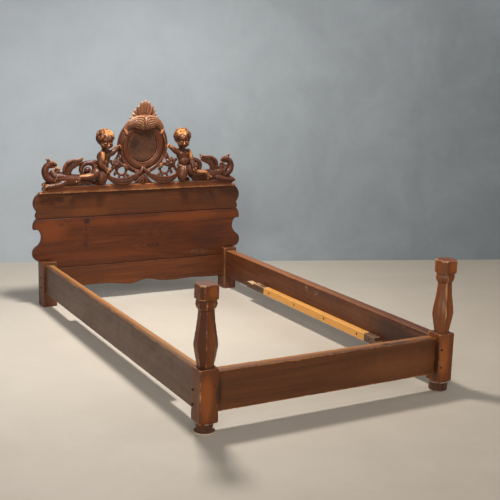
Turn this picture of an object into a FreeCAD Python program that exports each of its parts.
import FreeCAD, Part
import math
import os

# Single bed of walnut with a carved headboard crest, all lengths in millimetres.
# X runs across the bed, the headboard stands at +Y and the foot end at -Y, +Z is up.
# The origin lies on the floor under the middle of the bed.

os.makedirs("parts", exist_ok=True)
V = FreeCAD.Vector

# Overall plan
post_spread = 1154.0
bed_length = 1996.0

# Fits and cutting
running_gap = 0.3
joint_gap = 0.2
pin_gap = 0.1
cut_overrun = 5.0

# Foot posts: turned foot, square block, eight-sided baluster, collar and cap
post_side = 76.0
turned_foot_height = 38.0
block_top = 244.0
block_edge = 3.0
block_foot_chamfer = 4.0
baluster_bottom_half = 28.0
baluster_belly_half = 41.5
baluster_belly_height = 321.0
baluster_shoulder_half = 39.0
baluster_shoulder_height = 353.0
baluster_waist_half = 33.2
baluster_waist_height = 392.0
baluster_throat_half = 29.4
baluster_throat_height = 428.0
baluster_neck_half = 28.0
collar_bottom_height = 456.0
collar_under_half = 34.0
collar_under_height = 464.0
collar_half = 37.3
collar_round_height = 477.0
collar_top_half = 35.0
collar_top_height = 491.0
collar_groove_half = 32.5
cap_bottom_height = 495.0
cap_side = 75.0
cap_corner_cut = 13.0
cap_top_height = 550.0
cap_top_bevel = 3.0

# Turned feet: the left one keeps its thin disc, the right one is a plain worn drum
foot_disc_radius = 41.0
foot_disc_edge = 1.5
foot_disc_thickness = 5.0
foot_cove_radius = 30.5
foot_cove_height = 10.0
foot_shoulder_radius = 34.0
foot_drum_radius = 38.5
foot_drum_edge = 3.0
foot_drum_base_radius = 36.0
foot_spigot_radius = 14.0
foot_spigot_length = 35.0

# Head posts: short square stubs grooved for the headboard
stub_side = 77.0
stub_depth = 84.0
stub_height = 241.0
stub_edge = 2.5
stub_front_cheek = 40.0
groove_depth = 22.0
groove_bottom = 60.0

# Side rails
rail_bottom = 72.5
rail_top = 227.0
rail_set_back = 15.4
left_rail_thickness = 42.0
right_rail_thickness = 52.0
rail_edge_round = 2.5

# Foot rail, tenoned and pegged into the foot posts
foot_rail_bottom = 72.0
foot_rail_top = 226.0
foot_rail_thickness = 50.0
foot_rail_set_back = 22.6
tenon_length = 28.0
tenon_thickness = 20.0
tenon_shoulder = 16.0
peg_radius = 4.5
peg_heights = (105.0, 180.0)
peg_from_shoulder = 15.0
peg_length = 63.0
peg_proud = 0.8

# Hook fastening: iron plates in the rail ends hook over cross pins in the posts
rail_lift = 22.0
plate_thickness = 5.0
plate_from_outer_face = 20.0
plate_inside_rail = 70.0
plate_height = 118.0
pin_radius = 4.0
pin_proud = 3.0
pin_heights = (100.0, 156.0)
foot_pin_inset = 13.0
head_pin_inset = 36.0
hook_nose = 8.0
hook_over_pin = 10.0
hook_below_pin = 12.0
pin_past_slot = 8.0
slot_side_gap = 0.6
plate_nail_radius = 2.5
plate_nail_head_radius = 5.0
plate_nail_head_thickness = 2.0
plate_nail_end_cover = 8.0
plate_nail_spacing = 34.0
plate_nail_first = 18.0

# Slat bearers along the lower inside of the side rails
bearer_bottom = 86.0
bearer_height = 38.0
bearer_width = 33.0
batten_front_end = -510.0
batten_rear_end = 408.0
rear_stub_end = 598.0
rear_stub_break = 520.0
rear_stub_break_drop = 9.0
rear_stub_ridge_drop = 4.0
rear_stub_end_drop = 17.0
front_stub_end = -590.0
front_block_width = 42.0
front_block_top = 108.0
front_block_length = 120.0
left_bearer_half_length = 590.0
bearer_screw_radius = 2.5
bearer_screw_head_radius = 5.0
bearer_screw_head_thickness = 2.5
bearer_screw_length = 58.0
bearer_end_gap = 0.5

# Headboard boards
board_thickness = 27.0
panel_top = 600.0
upper_seam = 466.0
lower_seam = 198.0
panel_flare = 616.0
panel_lower_edge = 80.0
panel_edge_wave = 10.0

# Cap moulding and crest base
cap_moulding_height = 9.0
cap_moulding_half = 577.0
cap_moulding_front = 11.0
cap_moulding_round = 3.0
crest_base_height = 28.0
crest_base_heads = 5.57
crest_base_depth = 44.0
crest_base_front = 14.0
crest_base_round = 12.0
crest_dowel_radius = 5.0
crest_dowel_depth = 28.0
crest_dowel_cover = 10.0
crest_dowel_places = (120.0, 290.0, 470.0)

# Back battens and their nails
back_batten_width = 60.0
back_batten_thickness = 17.0
back_batten_place = 330.0
back_batten_bottom = 104.0
back_batten_top = 588.0
batten_nail_radius = 2.0
batten_nail_head_radius = 4.5
batten_nail_head_thickness = 1.5
batten_nail_reach = 18.0
batten_nail_side = 15.0
batten_nail_heights = (150.0, 250.0, 420.0, 530.0)

# Carved crest: the breadth of a child's head is its module, and one share is one head
head_breadth = 100.0
crest_mid_forward = 3.5
cartouche_half_width = 146.0
cartouche_half_height = 158.0
cartouche_lift = 48.0
cartouche_depth = 44.0
cartouche_lean = 6.0
cartouche_rim_bevel = 12.0
cartouche_recess_depth = 9.0
cartouche_inner_depth = 15.0
field_half_width = 84.0
field_half_height = 93.0
field_rise = 13.0
field_drop = 8.0
shell_height = 96.0
shell_half_width = 74.0
shell_tip_share = 0.11
shell_root_share = 0.085
shell_lean_share = 0.25
shell_foot_share = 0.72
shell_foot_radius_share = 0.09

# Worked out from the sizes above
half_spread = post_spread / 2
foot_overhang = foot_disc_radius - post_side / 2
foot_y = foot_overhang / 2 - bed_length / 2
head_y = foot_y + bed_length
panel_front = head_y - stub_depth + stub_front_cheek
panel_back = panel_front + board_thickness
rail_outer = half_spread - rail_set_back
rail_front_end = foot_y + post_side + running_gap
rail_rear_end = head_y - stub_depth - running_gap
plate_x = rail_outer - plate_from_outer_face
cap_moulding_top = panel_top + cap_moulding_height
crest_base_half = crest_base_heads * head_breadth
crest_floor = cap_moulding_top + crest_base_height
crest_y = panel_front - crest_mid_forward
cartouche_centre = crest_floor + cartouche_lift + cartouche_half_height
cartouche_back = crest_y + cartouche_depth / 2
cartouche_front = crest_y - cartouche_depth / 2


def box(x0, x1, y0, y1, z0, z1):
    return Part.makeBox(x1 - x0, y1 - y0, z1 - z0, V(x0, y0, z0))


def mirrored(shape):
    return shape.mirror(V(0, 0, 0), V(1, 0, 0))


def join(solids):
    return solids[0].multiFuse(solids[1:]).removeSplitter()


def largest(shape):
    return max(shape.Solids, key=lambda solid: solid.Volume)


def save(shape, node):
    shape.exportStep("parts/" + node + ".step")
    print(node, "solids", len(shape.Solids), "volume", round(shape.Volume), "valid", shape.isValid())


def polygon(points):
    return Part.Face(Part.makePolygon(points + points[:1]))


def closed_curve(points):
    curve = Part.BSplineCurve()
    curve.interpolate(points, PeriodicFlag=True)
    return Part.Face(Part.Wire(curve.toShape()))


def cylinder_x(radius, x0, x1, y, z):
    return Part.makeCylinder(radius, x1 - x0, V(x0, y, z), V(1, 0, 0))


def cylinder_y(radius, y0, y1, x, z):
    return Part.makeCylinder(radius, y1 - y0, V(x, y0, z), V(0, 1, 0))


def turned(points):
    # Revolves an outline of (radius, height) pairs about the Z axis.
    outline = [V(r, 0, z) for r, z in points]
    return polygon(outline).revolve(V(0, 0, 0), V(0, 0, 1), 360)


def aim(shape, start, end):
    # Turns a shape made along +Z so that it runs from start towards end.
    turn = FreeCAD.Rotation(V(0, 0, 1), end - start)
    shape.Placement = FreeCAD.Placement(start, turn)
    return shape


def limb(start, end, r0, r1):
    # A tapered limb with round ends: two balls and the cone that touches both.
    length = (end - start).Length
    lean = math.asin((r0 - r1) / length)
    low_mid = (lean - math.pi / 2) / 2
    top_mid = (lean + math.pi / 2) / 2
    foot = V(r0 * math.cos(lean), 0, r0 * math.sin(lean))
    head = V(r1 * math.cos(lean), 0, length + r1 * math.sin(lean))
    low_pole = V(0, 0, -r0)
    top_pole = V(0, 0, length + r1)
    low_arc = Part.Arc(low_pole, V(r0 * math.cos(low_mid), 0, r0 * math.sin(low_mid)), foot)
    side = Part.LineSegment(foot, head)
    top_arc = Part.Arc(head, V(r1 * math.cos(top_mid), 0, length + r1 * math.sin(top_mid)), top_pole)
    axis = Part.LineSegment(top_pole, low_pole)
    wire = Part.Wire([edge.toShape() for edge in (low_arc, side, top_arc, axis)])
    solid = Part.Face(wire).revolve(V(0, 0, 0), V(0, 0, 1), 360)
    return aim(solid, start, end)


def egg(centre, half_length, radius, towards=V(0, 0, 1)):
    # An ellipsoid of revolution whose long axis points towards the given direction.
    curve = Part.Ellipse(V(0, 0, half_length), V(radius, 0, 0), V(0, 0, 0))
    arc = Part.Arc(curve, 0, math.pi)
    axis = Part.LineSegment(arc.EndPoint, arc.StartPoint)
    wire = Part.Wire([arc.toShape(), axis.toShape()])
    solid = Part.Face(wire).revolve(V(0, 0, 0), V(0, 0, 1), 360)
    return aim(solid, centre, centre + towards)


def section(centre, tangent, half_depth, half_width):
    # An ellipse across the tangent, its first half axis along Y and its second in the plane of the curve.
    along = V(tangent).normalize()
    depth = V(0, 1, 0) - along * along.y
    depth.normalize()
    width = along.cross(depth)
    if half_depth == half_width:
        curve = Part.Circle(centre + depth * half_depth, centre + width * half_depth,
                            centre - depth * half_depth)
    elif half_depth > half_width:
        curve = Part.Ellipse(centre + depth * half_depth, centre + width * half_width, centre)
    else:
        curve = Part.Ellipse(centre + width * half_width, centre + depth * half_depth, centre)
    return Part.Wire(curve.toShape())


def tube(points, half_depths, half_widths):
    # A smooth loft through ellipses set square to the line of points.
    wires = []
    last = len(points) - 1
    for i, point in enumerate(points):
        tangent = points[min(i + 1, last)] - points[max(i - 1, 0)]
        wires.append(section(point, tangent, half_depths[i], half_widths[i]))
    return Part.makeLoft(wires, True, False)


def octagon(half, height, cut=None):
    # A square of the given half side with its corners cut, or a regular octagon.
    corner = half * (2 - math.sqrt(2)) if cut is None else cut
    reach = half - corner
    points = [V(half, -reach, height), V(half, reach, height), V(reach, half, height),
              V(-reach, half, height), V(-half, reach, height), V(-half, -reach, height),
              V(-reach, -half, height), V(reach, -half, height)]
    return Part.makePolygon(points + points[:1])


def hook_plate_profile(pin_inset, end_y, into_post):
    # Outline of one hook plate in the YZ plane: a strip in the rail with two hooks that open downwards.
    nose = pin_inset + pin_radius + hook_nose
    middle = (rail_bottom + rail_top) / 2
    strip = box(-plate_thickness / 2, plate_thickness / 2, 0, plate_inside_rail,
                middle - plate_height / 2, middle + plate_height / 2)
    parts = [strip]
    for height in pin_heights:
        hook = box(-plate_thickness / 2, plate_thickness / 2, -nose, 0,
                   height - pin_radius - hook_below_pin, height + pin_radius + hook_over_pin)
        seat = pin_radius + running_gap
        mouth = box(-plate_thickness, plate_thickness, -pin_inset - seat, -pin_inset + seat,
                    height - pin_radius - hook_below_pin - cut_overrun, height)
        round_seat = cylinder_x(seat, -plate_thickness, plate_thickness, -pin_inset, height)
        parts.append(hook.cut(mouth).cut(round_seat))
    plate = join(parts)
    if into_post < 0:
        return plate.translated(V(0, end_y, 0))
    flipped = plate.mirror(V(0, 0, 0), V(0, 1, 0))
    return flipped.translated(V(0, end_y, 0))


def hook_slot(pin_inset, face_y, into_post):
    # The mortise in a post that the hooks sit in, tall enough for the rail to lift off.
    nose = pin_inset + pin_radius + hook_nose + running_gap + slot_side_gap
    low = min(pin_heights) - pin_radius - hook_below_pin - slot_side_gap
    high = max(pin_heights) + pin_radius + hook_over_pin + rail_lift + slot_side_gap
    half = plate_thickness / 2 + slot_side_gap
    inner = face_y + into_post * nose
    outer = face_y - into_post * cut_overrun
    return box(plate_x - half, plate_x + half, min(inner, outer), max(inner, outer), low, high)


def pin_holes(pin_y):
    holes = []
    for height in pin_heights:
        reach = plate_x - plate_thickness / 2 - slot_side_gap - pin_past_slot
        holes.append(cylinder_x(pin_radius + pin_gap, reach - pin_gap, half_spread + cut_overrun, pin_y,
                                height))
    return holes


def hook_pins(pin_y):
    pins = []
    for height in pin_heights:
        start = plate_x - plate_thickness / 2 - slot_side_gap - pin_past_slot
        pin = cylinder_x(pin_radius, start, half_spread + pin_proud, pin_y, height)
        pins.append(pin)
    return pins


foot_pin_y = foot_y + post_side - foot_pin_inset
head_pin_y = head_y - stub_depth + head_pin_inset
tenon_mid_y = foot_y + foot_rail_set_back + foot_rail_thickness / 2


def foot_block():
    # Square block with eased corners and a cut-in lower end, about the post's own axis.
    half = post_side / 2
    block = Part.makeLoft([octagon(half - block_foot_chamfer, turned_foot_height, block_edge),
                           octagon(half, turned_foot_height + block_foot_chamfer, block_edge)], True, True)
    shaft = Part.Face(octagon(half, turned_foot_height + block_foot_chamfer, block_edge)).extrude(
        V(0, 0, block_top - turned_foot_height - block_foot_chamfer))
    return block, shaft


def foot_post():
    # The right-hand foot post, standing at +X.
    block, shaft = foot_block()
    lower = Part.makeLoft([octagon(baluster_bottom_half, block_top),
                           octagon(baluster_belly_half, baluster_belly_height)],
                          True, True)
    upper = Part.makeLoft([octagon(baluster_belly_half, baluster_belly_height),
                           octagon(baluster_shoulder_half, baluster_shoulder_height),
                           octagon(baluster_waist_half, baluster_waist_height),
                           octagon(baluster_throat_half, baluster_throat_height),
                           octagon(baluster_neck_half, collar_bottom_height)], True, False)
    collar = Part.makeLoft([octagon(baluster_neck_half, collar_bottom_height),
                            octagon(collar_under_half, collar_under_height),
                            octagon(collar_half, collar_round_height)], True, True)
    band = Part.makeLoft([octagon(collar_half, collar_round_height),
                          octagon(collar_top_half, collar_top_height)],
                         True, True)
    groove = Part.makeLoft([octagon(collar_groove_half, collar_top_height),
                            octagon(collar_groove_half, cap_bottom_height)],
                           True, True)
    cap_half = cap_side / 2
    cap = Part.Face(octagon(cap_half, cap_bottom_height, cap_corner_cut)).extrude(
        V(0, 0, cap_top_height - cap_top_bevel - cap_bottom_height))
    top = Part.makeLoft([octagon(cap_half, cap_top_height - cap_top_bevel, cap_corner_cut),
                         octagon(cap_half - cap_top_bevel, cap_top_height, cap_corner_cut)], True, True)
    body = join([block, shaft, lower, upper, collar, band, groove, cap, top])
    body.translate(V(half_spread - post_side / 2, foot_y + post_side / 2, 0))
    inner_x = half_spread - post_side
    mortise = box(inner_x - cut_overrun, inner_x + tenon_length + joint_gap,
                  tenon_mid_y - tenon_thickness / 2 - joint_gap,
                  tenon_mid_y + tenon_thickness / 2 + joint_gap,
                  foot_rail_bottom + tenon_shoulder - joint_gap, foot_rail_top - tenon_shoulder + joint_gap)
    spigot = Part.makeCylinder(foot_spigot_radius + joint_gap, foot_spigot_length + joint_gap + cut_overrun,
                               V(half_spread - post_side / 2, foot_y + post_side / 2,
                                 turned_foot_height - cut_overrun))
    cuts = [mortise, spigot, hook_slot(foot_pin_inset, foot_y + post_side, -1)]
    cuts += pin_holes(foot_pin_y)
    cuts += [peg_solid(height, pin_gap) for height in peg_heights]
    return body.cut(cuts)


def peg_solid(height, clearance):
    # One drawbore peg, driven from the front face through the tenon.
    x = half_spread - post_side + peg_from_shoulder
    return cylinder_y(peg_radius + clearance, foot_y - peg_proud, foot_y + peg_length + clearance, x, height)


def turned_foot(sides):
    # Turned foot of the given side outline, with a spigot that plugs into the post.
    outline = [(0, 0)] + sides + [(foot_spigot_radius, turned_foot_height),
               (foot_spigot_radius, turned_foot_height + foot_spigot_length),
               (0, turned_foot_height + foot_spigot_length)]
    foot = turned(outline)
    foot.translate(V(half_spread - post_side / 2, foot_y + post_side / 2, 0))
    return foot


def head_post():
    # The right-hand head post, a short stub that the headboard is housed in.
    half = stub_side / 2
    front = stub_depth / 2
    points = [V(half, front - stub_edge, 0), V(half - stub_edge, front, 0), V(stub_edge - half, front, 0),
              V(-half, front - stub_edge, 0), V(-half, stub_edge - front, 0), V(stub_edge - half, -front, 0),
              V(half - stub_edge, -front, 0), V(half, stub_edge - front, 0)]
    body = polygon(points).extrude(V(0, 0, stub_height))
    body.translate(V(half_spread - half, head_y - front, 0))
    inner_x = half_spread - stub_side
    groove = box(inner_x - cut_overrun, inner_x + groove_depth + joint_gap, panel_front - joint_gap,
                 panel_back + joint_gap, groove_bottom, stub_height + cut_overrun)
    cuts = [groove, hook_slot(head_pin_inset, head_y - stub_depth, 1)] + pin_holes(head_pin_y)
    return body.cut(cuts)


def foot_rail():
    # Foot rail with a tenon at each end, drilled for the pegs.
    reach = half_spread - post_side
    y0 = foot_y + foot_rail_set_back
    rail = box(-reach, reach, y0, y0 + foot_rail_thickness, foot_rail_bottom, foot_rail_top)
    long_edges = [edge for edge in rail.Edges if abs(edge.BoundBox.XLength - 2 * reach) < joint_gap]
    rail = rail.makeFillet(rail_edge_round, long_edges)
    tenon = box(-reach - tenon_length, reach + tenon_length, tenon_mid_y - tenon_thickness / 2,
                tenon_mid_y + tenon_thickness / 2, foot_rail_bottom + tenon_shoulder,
                foot_rail_top - tenon_shoulder)
    holes = [peg_solid(height, pin_gap) for height in peg_heights]
    holes += [mirrored(hole) for hole in holes]
    return join([rail, tenon]).cut(holes)


def plate_nails(thickness):
    # Nails that hold the two hook plates of one rail, driven from the rail's inner face.
    inner = rail_outer - thickness
    end = rail_outer - plate_nail_end_cover
    nails = []
    for end_y, way in ((rail_front_end, 1), (rail_rear_end, -1)):
        for place in (plate_nail_first, plate_nail_first + plate_nail_spacing):
            for height in pin_heights:
                y = end_y + way * place
                shank = cylinder_x(plate_nail_radius, inner, end, y, height)
                head = cylinder_x(plate_nail_head_radius, inner, inner + plate_nail_head_thickness, y, height)
                nails.append(join([shank, head]))
    return nails


def rail_hook_plates():
    # Both iron plates of the right-hand rail.
    front = hook_plate_profile(foot_pin_inset, rail_front_end, -1)
    rear = hook_plate_profile(head_pin_inset, rail_rear_end, 1)
    return [front.translated(V(plate_x, 0, 0)), rear.translated(V(plate_x, 0, 0))]


def nail_holes(thickness):
    inner = rail_outer - thickness
    end = rail_outer - plate_nail_end_cover + pin_gap
    holes = []
    for nail in plate_nails(thickness):
        y = (nail.BoundBox.YMin + nail.BoundBox.YMax) / 2
        z = (nail.BoundBox.ZMin + nail.BoundBox.ZMax) / 2
        holes.append(cylinder_x(plate_nail_radius + pin_gap, inner - cut_overrun, end, y, z))
        holes.append(cylinder_x(plate_nail_head_radius + pin_gap, inner - cut_overrun,
                                inner + plate_nail_head_thickness + pin_gap, y, z))
    return holes


def side_rail(thickness):
    # The right-hand side rail, kerfed at both ends for its hook plates.
    inner = rail_outer - thickness
    rail = box(inner, rail_outer, rail_front_end, rail_rear_end, rail_bottom, rail_top)
    length = rail_rear_end - rail_front_end
    long_edges = [edge for edge in rail.Edges if abs(edge.BoundBox.YLength - length) < joint_gap]
    rail = rail.makeFillet(rail_edge_round, long_edges)
    half = plate_thickness / 2 + joint_gap
    middle = (rail_bottom + rail_top) / 2
    low = middle - plate_height / 2 - joint_gap
    high = middle + plate_height / 2 + joint_gap
    deep = plate_inside_rail + joint_gap
    kerfs = [box(plate_x - half, plate_x + half, rail_front_end - cut_overrun, rail_front_end + deep,
                 low, high),
             box(plate_x - half, plate_x + half, rail_rear_end - deep, rail_rear_end + cut_overrun,
                 low, high)]
    return rail.cut(kerfs + nail_holes(thickness))


def bearer(face_x, side, y0, y1, width=bearer_width, top=bearer_bottom + bearer_height):
    # A strip nailed along the lower inside of a rail; side is +1 on the right rail and -1 on the left.
    inner = face_x - side * width
    return box(min(face_x, inner), max(face_x, inner), y0, y1, bearer_bottom, top)


def rear_bearer_stub(face_x):
    # What is left of the old bearer at the head end, its rear part split off along the top.
    whole = bearer(face_x, 1, batten_rear_end + bearer_end_gap, rear_stub_end)
    top = bearer_bottom + bearer_height
    split = polygon([V(0, rear_stub_break, top + cut_overrun), V(0, rear_stub_break, top),
                     V(0, rear_stub_break + rear_stub_break_drop, top - rear_stub_break_drop),
                     V(0, rear_stub_end - rear_stub_break_drop, top - rear_stub_ridge_drop),
                     V(0, rear_stub_end + cut_overrun, top - rear_stub_end_drop),
                     V(0, rear_stub_end + cut_overrun, top + cut_overrun)])
    prism = split.extrude(V(bearer_width + 2 * cut_overrun, 0, 0))
    prism.translate(V(face_x - bearer_width - cut_overrun, 0, 0))
    return whole.cut(prism)


def screw(face_x, side, y, z, clearance=0):
    # A countersunk screw through a bearer into its rail.
    start = face_x - side * bearer_width
    end = start + side * bearer_screw_length
    low, high = min(start, end + side * clearance), max(start, end + side * clearance)
    shank = cylinder_x(bearer_screw_radius + clearance, low, high, y, z)
    inner_head = start + side * (bearer_screw_head_thickness + clearance)
    low_head, high_head = min(start, inner_head), max(start, inner_head)
    head = cylinder_x(bearer_screw_head_radius + clearance, low_head, high_head, y, z)
    return join([shank, head])


right_face = rail_outer - right_rail_thickness
left_face = -(rail_outer - left_rail_thickness)
bearer_mid_z = bearer_bottom + bearer_height / 2
batten_length = batten_rear_end - batten_front_end
batten_screw_shares = (0.06, 0.36, 0.66, 0.94)
left_screw_shares = (-0.9, -0.45, 0.0, 0.45, 0.9)
stub_screw_share = 0.3
front_stub_screw_share = 0.5


def right_screw_places():
    places = [batten_front_end + share * batten_length for share in batten_screw_shares]
    places.append(batten_rear_end + stub_screw_share * (rear_stub_end - batten_rear_end))
    places.append(batten_front_end + front_stub_screw_share * (front_stub_end - batten_front_end))
    return places


def left_screw_places():
    return [share * left_bearer_half_length for share in left_screw_shares]


# Side outline of the headboard from its top corner down to the post, as shares of the flare and of the
# height from the post's top to the panel's top.
flare_shares = (
    ("line", ((0.937, 1.0),)),
    ("arc", ((0.985, 0.880), (0.952, 0.735))),
    ("arc", ((0.969, 0.690), (0.962, 0.640))),
    ("line", ((0.966, 0.627),)),
    ("arc", ((0.990, 0.545), (0.989, 0.465))),
    ("arc", ((0.962, 0.474), (0.931, 0.430))),
    ("arc", ((0.920, 0.350), (0.966, 0.220))),
    ("arc", ((1.000, 0.125), (0.975, 0.020))),
    ("line", ((0.952, 0.0),)),
)
wave_shares = ((-1.0, 0.2), (-0.65, 0.8), (-0.3, 0.3), (-0.06, -0.2), (0.0, 0.8), (0.11, 0.9), (0.2, -0.1),
               (0.55, -0.5), (0.9, -1.0), (1.0, -1.0))


def flare_point(shares):
    return V(shares[0] * panel_flare, panel_front, stub_height + shares[1] * (panel_top - stub_height))


def panel_face():
    # The whole headboard outline, before it is sawn into its three boards.
    groove_x = half_spread - stub_side + groove_depth
    right = []
    at = flare_point(flare_shares[0][1][0])
    top_corner = at
    for kind, shares in flare_shares[1:]:
        points = [flare_point(share) for share in shares]
        if kind == "line":
            right.append(Part.LineSegment(at, points[0]).toShape())
        else:
            right.append(Part.Arc(at, points[0], points[1]).toShape())
        at = points[-1]
    shoulder = V(groove_x, panel_front, stub_height)
    right.append(Part.LineSegment(at, shoulder).toShape())
    wave = [V(x * groove_x, panel_front, panel_lower_edge + z * panel_edge_wave) for x, z in wave_shares]
    left = [mirrored(edge) for edge in right]
    curve = Part.BSplineCurve()
    curve.interpolate(wave)
    left_shoulder = V(-groove_x, panel_front, stub_height)
    left_top = V(-top_corner.x, panel_front, top_corner.z)
    closing = [Part.LineSegment(shoulder, wave[-1]).toShape(), curve.toShape(),
               Part.LineSegment(wave[0], left_shoulder).toShape(),
               Part.LineSegment(left_top, top_corner).toShape()]
    wire = Part.Wire(Part.__sortEdges__(right + left + closing))
    return Part.Face(wire)


def board(low, high):
    # One board of the headboard between two heights.
    slab = panel_face().extrude(V(0, board_thickness, 0))
    reach = panel_flare + cut_overrun
    return slab.common(box(-reach, reach, panel_front - cut_overrun, panel_back + cut_overrun, low, high))


def crest_dowels(clearance):
    # Round dowels that fix the crest base through the cap moulding to the upper board.
    low = panel_top - crest_dowel_depth - clearance
    high = crest_floor - crest_dowel_cover + clearance
    y = (panel_front + panel_back) / 2
    dowels = []
    for side in (-1, 1):
        for place in crest_dowel_places:
            dowels.append(Part.makeCylinder(crest_dowel_radius + clearance, high - low,
                                            V(side * place, y, low)))
    return dowels


def batten_nails(clearance):
    # Nails through the back battens into the boards.
    nails = []
    outer = panel_back + back_batten_thickness
    for side in (-1, 1):
        for i, height in enumerate(batten_nail_heights):
            way = 1 if i % 2 else -1
            x = side * back_batten_place + way * batten_nail_side
            shank = cylinder_y(batten_nail_radius + clearance, panel_back - batten_nail_reach - clearance,
                               outer, x, height)
            head = cylinder_y(batten_nail_head_radius + clearance,
                              outer - batten_nail_head_thickness - clearance,
                              outer, x, height)
            nails.append(join([shank, head]))
    return nails


def back_batten(side):
    x0 = side * back_batten_place - back_batten_width / 2
    return box(x0, x0 + back_batten_width, panel_back, panel_back + back_batten_thickness, back_batten_bottom,
               back_batten_top)


def cap_moulding():
    # Thin board on the panel's top edge, its nose rounded to the front.
    reach = cap_moulding_half
    slab = box(-reach, reach, panel_front - cap_moulding_front, panel_back, panel_top, cap_moulding_top)
    nose = [edge for edge in slab.Edges
            if abs(edge.BoundBox.XLength - 2 * reach) < joint_gap and edge.BoundBox.YMax < panel_front]
    return slab.makeFillet(cap_moulding_round, nose)


def crest_base():
    # Base rail of the crest with rounded ends and an eased front edge.
    reach = crest_base_half
    y0 = panel_front - crest_base_front
    rail = box(-reach, reach, y0, y0 + crest_base_depth, cap_moulding_top, crest_floor)
    ends = [edge for edge in rail.Edges if abs(edge.BoundBox.YLength - crest_base_depth) < joint_gap]
    rail = rail.makeFillet(crest_base_round, ends)
    return rail


def heads(out, front, up):
    # A place in the crest, in heads: out from the middle, forward of its mid plane, up from the base.
    return V(out * head_breadth, crest_y - front * head_breadth, crest_floor + up * head_breadth)


def leaned(shape):
    # Tilts a piece of the cartouche about its middle, so that the top comes forward.
    tilted = shape.copy()
    tilted.rotate(V(0, crest_y, cartouche_centre), V(1, 0, 0), cartouche_lean)
    return tilted


def ellipse_wire(half_width, half_height, y):
    centre = V(0, y, cartouche_centre)
    if half_height > half_width:
        curve = Part.Ellipse(centre + V(0, 0, half_height), centre + V(half_width, 0, 0), centre)
    else:
        curve = Part.Ellipse(centre + V(half_width, 0, 0), centre + V(0, 0, half_height), centre)
    return Part.Wire(curve.toShape())


def ellipse_plate(half_width, half_height, y0, y1):
    return Part.Face(ellipse_wire(half_width, half_height, y0)).extrude(V(0, y1 - y0, 0))


def cartouche_frame():
    # Oval frame: a thick rim, a first step and a deeper step that holds the field.
    width, height = cartouche_half_width, cartouche_half_height
    bevel_y = cartouche_front + cartouche_rim_bevel
    back = ellipse_plate(width, height, bevel_y, cartouche_back)
    front = Part.makeLoft([ellipse_wire(width, height, bevel_y),
                           ellipse_wire(width - cartouche_rim_bevel, height - cartouche_rim_bevel,
                                        cartouche_front)],
                          True, True)
    step = (width + field_half_width) / 2
    step_height = (height + field_half_height) / 2
    first = ellipse_plate(step, step_height, cartouche_front - cut_overrun,
                          cartouche_front + cartouche_recess_depth)
    second = ellipse_plate(field_half_width + joint_gap, field_half_height + joint_gap,
                           cartouche_front - cut_overrun, cartouche_front + cartouche_inner_depth)
    return leaned(join([back, front]).cut([first, second]))


def cartouche_field():
    # Raised oval field, crowned towards the front.
    floor = cartouche_front + cartouche_inner_depth
    wires = [ellipse_wire(field_half_width, field_half_height, floor),
             ellipse_wire(field_half_width, field_half_height, floor - field_drop),
             ellipse_wire(field_half_width - field_rise, field_half_height - field_rise,
                          floor - field_drop - field_rise / 2)]
    low = Part.makeLoft(wires[:2], True, True)
    high = Part.makeLoft(wires[1:], True, True)
    return leaned(join([low, high]))


fold_shares = ((-1.02, 0.03, 0.02), (-0.80, 0.04, 0.38), (-0.45, 0.05, 0.60), (0.0, 0.06, 0.66),
               (0.45, 0.05, 0.60), (0.80, 0.04, 0.38), (1.02, 0.03, 0.02))
fold_half_shares = (0.05, 0.17, 0.26, 0.29, 0.26, 0.17, 0.05)
fold_depth_share = 0.8


def fold():
    # Fluted leaf roll that laps over the top of the cartouche.
    centre_y = cartouche_front
    base = cartouche_centre + cartouche_half_height - head_breadth
    points = [V(x * head_breadth, centre_y - f * head_breadth, base + up * head_breadth)
              for x, f, up in fold_shares]
    halves = [share * head_breadth for share in fold_half_shares]
    depths = [half * fold_depth_share for half in halves]
    return leaned(tube(points, depths, halves))


flute_angles = (-66, -44, -22, 0, 22, 44, 66)
flute_length_shares = (0.72, 0.86, 0.96, 1.0, 0.96, 0.86, 0.72)


def shell_palmette():
    # Fan of seven round flutes on a low foot, bent a little forward.
    root = V(0, crest_y, cartouche_centre + cartouche_half_height)
    tip_radius = shell_height * shell_tip_share
    root_radius = shell_height * shell_root_share
    reach = shell_height - tip_radius
    pieces = []
    for angle, share in zip(flute_angles, flute_length_shares):
        turn = math.radians(angle)
        lean = reach * share * shell_lean_share
        start = root + V(math.sin(turn) * root_radius, 0, root_radius)
        end = root + V(math.sin(turn) * reach * share * shell_half_width / shell_height, -lean,
                       max(math.cos(turn), 0) * reach * share)
        pieces.append(limb(start, end, root_radius, tip_radius))
    foot_half = shell_half_width * shell_foot_share
    foot_radius = shell_height * shell_foot_radius_share
    pieces.append(limb(root - V(foot_half, 0, root_radius), root + V(foot_half, 0, -root_radius),
                       foot_radius, root_radius))
    return leaned(join(pieces))


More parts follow.
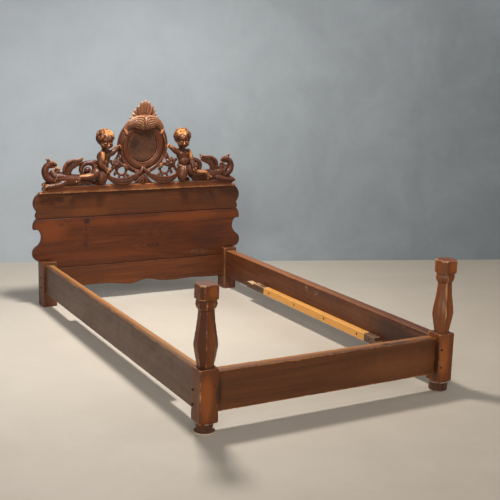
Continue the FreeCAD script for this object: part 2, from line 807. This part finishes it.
# Kneeling child: name, start, end and the two radii of each limb, in heads
putto_limb_shares = (
    ("neck", (2.21, 0.26, 1.72), (2.22, 0.34, 2.10), 0.19, 0.17),
    ("chest", (2.36, 0.24, 1.20), (2.28, 0.26, 1.62), 0.33, 0.31),
    ("hips", (2.30, 0.16, 0.92), (2.50, 0.16, 0.92), 0.31, 0.29),
    ("kneeling_thigh", (2.36, 0.24, 0.80), (2.30, 0.28, 0.24), 0.27, 0.23),
    ("kneeling_shin", (2.32, 0.26, 0.19), (2.66, -0.02, 0.14), 0.18, 0.12),
    ("stretched_thigh", (2.50, 0.18, 0.80), (2.90, 0.34, 0.50), 0.25, 0.19),
    ("stretched_shin", (2.90, 0.34, 0.50), (3.62, 0.38, 0.54), 0.18, 0.11),
    ("stretched_foot", (3.62, 0.38, 0.54), (3.80, 0.42, 0.32), 0.11, 0.08),
    ("raised_arm", (2.10, 0.26, 1.76), (1.80, 0.26, 1.88), 0.15, 0.12),
    ("raised_hand", (1.80, 0.26, 1.88), (1.48, 0.20, 2.04), 0.12, 0.10),
    ("resting_arm", (2.52, 0.28, 1.68), (2.62, 0.40, 1.12), 0.15, 0.12),
    ("resting_hand", (2.62, 0.40, 1.12), (2.28, 0.50, 0.88), 0.12, 0.09),
)
putto_head_shares = (2.24, 0.38, 2.40, 0.51, 0.48)


def putto():
    # Child kneeling on one knee at the right of the cartouche, one leg stretched over the beast's back.
    pieces = []
    for name, start, end, r0, r1 in putto_limb_shares:
        pieces.append(limb(heads(*start), heads(*end), r0 * head_breadth, r1 * head_breadth))
    out, front, up, half, radius = putto_head_shares
    pieces.append(egg(heads(out, front, up), half * head_breadth, radius * head_breadth))
    return join(pieces)


# Winged beast: points out and up with the half width of each place, in heads
beast_body_shares = ((2.92, 0.40, 0.16), (3.25, 0.36, 0.26), (3.75, 0.33, 0.31), (4.25, 0.36, 0.33),
                     (4.65, 0.46, 0.31), (4.98, 0.62, 0.22))
beast_neck_shares = ((4.86, 0.46, 0.17), (5.11, 0.34, 0.17), (5.36, 0.50, 0.16), (5.49, 0.80, 0.15),
                     (5.43, 1.07, 0.14), (5.24, 1.21, 0.14), (5.05, 1.22, 0.12), (4.87, 1.17, 0.05))
beast_tail_shares = ((3.02, 0.42, 0.17), (2.84, 0.62, 0.17), (2.80, 0.90, 0.15), (2.94, 1.10, 0.13),
                     (3.18, 1.14, 0.12), (3.41, 1.04, 0.12), (3.48, 0.84, 0.10), (3.38, 0.68, 0.08))
beast_tail_ball_shares = (3.20, 0.06, 0.80, 0.15)
beast_horn_shares = ((5.30, 1.20, 0.06), (5.37, 1.34, 0.05), (5.30, 1.45, 0.03))
beast_wing_shares = ((4.50, 0.55), (4.48, 0.90), (4.42, 1.18), (4.20, 1.37), (3.98, 1.42), (3.66, 1.38),
                     (3.42, 1.50), (3.47, 1.14), (3.88, 0.99), (4.06, 0.80), (4.08, 0.50))
beast_limb_shares = (
    ("near_foreleg", (4.60, 0.24, 0.17), (5.42, 0.22, 0.12), 0.16, 0.11),
    ("near_paw", (5.38, 0.22, 0.12), (5.52, 0.20, 0.11), 0.12, 0.11),
    ("breast_curl", (4.84, 0.14, 0.72), (4.80, 0.16, 0.96), 0.12, 0.09),
)
beast_depth_share = 0.2


def along(shares):
    # Points and half widths of a tube in the crest's mid plane.
    points = [heads(out, 0, up) for out, up, half in shares]
    halves = [half * head_breadth for out, up, half in shares]
    return points, halves


def beast():
    # Winged beast lying outwards along the base, its neck curled back and its tail looped behind the child.
    depth = beast_depth_share * head_breadth
    body_points, body_halves = along(beast_body_shares)
    neck_points, neck_halves = along(beast_neck_shares)
    tail_points, tail_halves = along(beast_tail_shares)
    horn_points, horn_halves = along(beast_horn_shares)
    wing_points = [heads(out, beast_depth_share, up) for out, up in beast_wing_shares]
    pieces = [tube(body_points, [max(half, depth) for half in body_halves], body_halves),
              tube(neck_points, neck_halves, neck_halves),
              tube(tail_points, tail_halves, tail_halves),
              tube(horn_points, horn_halves, horn_halves),
              closed_curve(wing_points).extrude(V(0, depth, 0))]
    for name, start, end, r0, r1 in beast_limb_shares:
        pieces.append(limb(heads(*start), heads(*end), r0 * head_breadth, r1 * head_breadth))
    out, front, up, radius = beast_tail_ball_shares
    pieces.append(Part.makeSphere(radius * head_breadth, heads(out, front, up)))
    return join(pieces)


scroll_shares = ((2.14, 0.66, 0.06), (1.92, 0.36, 0.12), (1.56, 0.19, 0.17), (1.18, 0.17, 0.17),
                 (0.80, 0.24, 0.15), (0.46, 0.38, 0.12), (0.16, 0.52, 0.07))
scroll_depth_share = 0.19
bracket_shares = ((-0.42, 0.0), (0.42, 0.0), (0.10, 0.50), (-0.10, 0.50))


def acanthus_scroll():
    # Crescent of acanthus leaf that sags from the child's knee to the foot of the cartouche.
    points, halves = along(scroll_shares)
    depths = [max(half, scroll_depth_share * head_breadth * half / halves[2]) for half in halves]
    return tube(points, depths, halves)


def centre_bracket():
    # Small wedge under the cartouche, between the two scrolls.
    points = [heads(out, beast_depth_share / 2, up) for out, up in bracket_shares]
    return polygon(points).extrude(V(0, beast_depth_share * head_breadth, 0))


rosette_shares = (1.60, 1.08, 0.26)
stem_shares = (
    ((1.55, 1.24, 0.06), (1.50, 1.42, 0.05), (1.36, 1.62, 0.05)),
    ((1.72, 0.98, 0.06), (1.58, 0.70, 0.05), (1.36, 0.48, 0.05), (1.20, 0.28, 0.05)),
    ((1.12, 0.98, 0.06), (1.16, 0.76, 0.05), (1.32, 0.52, 0.05), (1.50, 0.30, 0.05)),
)
band_shares = ((1.50, 1.06, 0.09), (1.30, 1.00, 0.09), (1.06, 0.98, 0.09))
knot_shares = (1.31, 0.50, 0.12)


def flower_spray():
    # Rosette with two crossed stems and a knot, filling the corner between child, cartouche and scroll.
    pieces = []
    for shares in stem_shares + (band_shares,):
        points, halves = along(shares)
        pieces.append(tube(points, halves, halves))
    out, up, radius = rosette_shares
    flat = radius * head_breadth / 2
    flower = egg(heads(out, 0, up), radius * head_breadth, flat)
    disc = Part.makeCylinder(radius * head_breadth, flat, heads(out, radius / 2, up), V(0, 1, 0))
    pieces += [flower, disc]
    out, up, radius = knot_shares
    pieces.append(Part.makeSphere(radius * head_breadth, heads(out, 0, up)))
    return join(pieces)


def above_floor(shape):
    # Trims what reaches below the crest's base and keeps the main solid.
    reach = cap_moulding_half + head_breadth
    under = box(-reach, reach, crest_y - head_breadth, crest_y + head_breadth, panel_top - head_breadth,
                crest_floor)
    return largest(shape.cut(under))


def build_headboard():
    # Boards, posts, battens and the fixings between them.
    dowel_holes = crest_dowels(pin_gap)
    nail_bores = batten_nails(pin_gap)
    boards = (("headboard_board_upper", upper_seam, panel_top),
              ("headboard_board_middle", lower_seam, upper_seam),
              ("headboard_board_lower", 0, lower_seam))
    for node, low, high in boards:
        save(board(low, high).cut(dowel_holes + nail_bores), node)
    save(cap_moulding().cut(dowel_holes), "headboard_cap_moulding")
    save(crest_base().cut(dowel_holes), "crest_base_rail")
    save(Part.makeCompound(crest_dowels(0)), "crest_dowels")
    for side, name in ((-1, "left"), (1, "right")):
        save(back_batten(side).cut(nail_bores), "headboard_back_batten_" + name)
    save(Part.makeCompound(batten_nails(0)), "back_batten_nails")
    post = head_post()
    save(post, "head_post_right")
    save(mirrored(post), "head_post_left")


def build_crest():
    # Carved pieces of the crest; each later piece is fitted round the ones before it.
    frame = cartouche_frame()
    field = cartouche_field()
    save(frame, "cartouche_frame")
    save(field, "cartouche_field")
    leaf = largest(fold().cut([frame, field]))
    save(leaf, "cartouche_leaf_fold")
    save(largest(shell_palmette().cut([frame, leaf])), "shell_palmette")
    bracket = largest(centre_bracket().cut(frame))
    save(bracket, "cartouche_bracket")
    scroll = above_floor(acanthus_scroll().cut([frame, bracket]))
    child = above_floor(putto().cut([frame, scroll]))
    creature = above_floor(beast().cut([child]))
    spray = above_floor(flower_spray().cut([frame, child, scroll]))
    for solid, node in ((scroll, "acanthus_scroll"), (child, "putto"), (creature, "winged_beast"),
                        (spray, "flower_spray")):
        save(solid, node + "_right")
        save(mirrored(solid), node + "_left")


def build_foot_end():
    # Foot rail, posts, feet and pegs.
    save(foot_rail(), "foot_rail")
    post = foot_post()
    save(post, "foot_post_right")
    save(mirrored(post), "foot_post_left")
    drum = [(foot_drum_base_radius, 0), (foot_drum_radius, foot_drum_edge),
            (foot_drum_radius, turned_foot_height)]
    disc = [(foot_disc_radius - foot_disc_edge, 0), (foot_disc_radius, foot_disc_edge),
            (foot_disc_radius, foot_disc_thickness - foot_disc_edge),
            (foot_disc_radius - foot_disc_edge, foot_disc_thickness), (foot_cove_radius, foot_cove_height),
            (foot_shoulder_radius, turned_foot_height)]
    save(turned_foot(drum), "turned_foot_right")
    save(mirrored(turned_foot(disc)), "turned_foot_left")
    pegs = [peg_solid(height, 0) for height in peg_heights]
    save(Part.makeCompound(pegs + [mirrored(peg) for peg in pegs]), "foot_rail_pegs")
    pins = hook_pins(foot_pin_y)
    save(Part.makeCompound(pins + [mirrored(pin) for pin in pins]), "foot_post_hook_pins")
    pins = hook_pins(head_pin_y)
    save(Part.makeCompound(pins + [mirrored(pin) for pin in pins]), "head_post_hook_pins")


def build_side_rails():
    # Side rails with their iron and the bearers for the slats.
    for thickness, name in ((right_rail_thickness, "right"), (left_rail_thickness, "left")):
        rail = side_rail(thickness)
        plates = [plate.cut(nail_holes(thickness)) for plate in rail_hook_plates()]
        iron = Part.makeCompound(plates)
        nails = Part.makeCompound(plate_nails(thickness))
        if name == "left":
            rail = mirrored(rail)
            iron = mirrored(iron)
            nails = mirrored(nails)
            bores = [screw(left_face, -1, y, bearer_mid_z, pin_gap) for y in left_screw_places()]
        else:
            bores = [screw(right_face, 1, y, bearer_mid_z, pin_gap) for y in right_screw_places()]
        save(rail.cut(bores), "side_rail_" + name)
        save(iron, "hook_plates_" + name)
        save(nails, "hook_plate_nails_" + name)


def build_bearers():
    # Bearers: one strip on the left rail; pine batten, two old stubs and a block on the right rail.
    right_bores = [screw(right_face, 1, y, bearer_mid_z, pin_gap) for y in right_screw_places()]
    left_bores = [screw(left_face, -1, y, bearer_mid_z, pin_gap) for y in left_screw_places()]
    save(bearer(right_face, 1, batten_front_end, batten_rear_end).cut(right_bores), "pine_batten")
    save(rear_bearer_stub(right_face).cut(right_bores), "bearer_stub_rear")
    front = bearer(right_face, 1, front_stub_end, batten_front_end - bearer_end_gap)
    save(front.cut(right_bores), "bearer_stub_front")
    block_rear = front_stub_end - bearer_end_gap
    block = bearer(right_face, 1, block_rear - front_block_length, block_rear, front_block_width,
                   front_block_top)
    save(block, "bearer_block_front")
    save(bearer(left_face, -1, -left_bearer_half_length, left_bearer_half_length).cut(left_bores),
         "bearer_left")
    screws = [screw(right_face, 1, y, bearer_mid_z) for y in right_screw_places()]
    save(Part.makeCompound(screws), "bearer_screws_right")
    screws = [screw(left_face, -1, y, bearer_mid_z) for y in left_screw_places()]
    save(Part.makeCompound(screws), "bearer_screws_left")


def main():
    build_headboard()
    build_crest()
    build_foot_end()
    build_side_rails()
    build_bearers()


main()
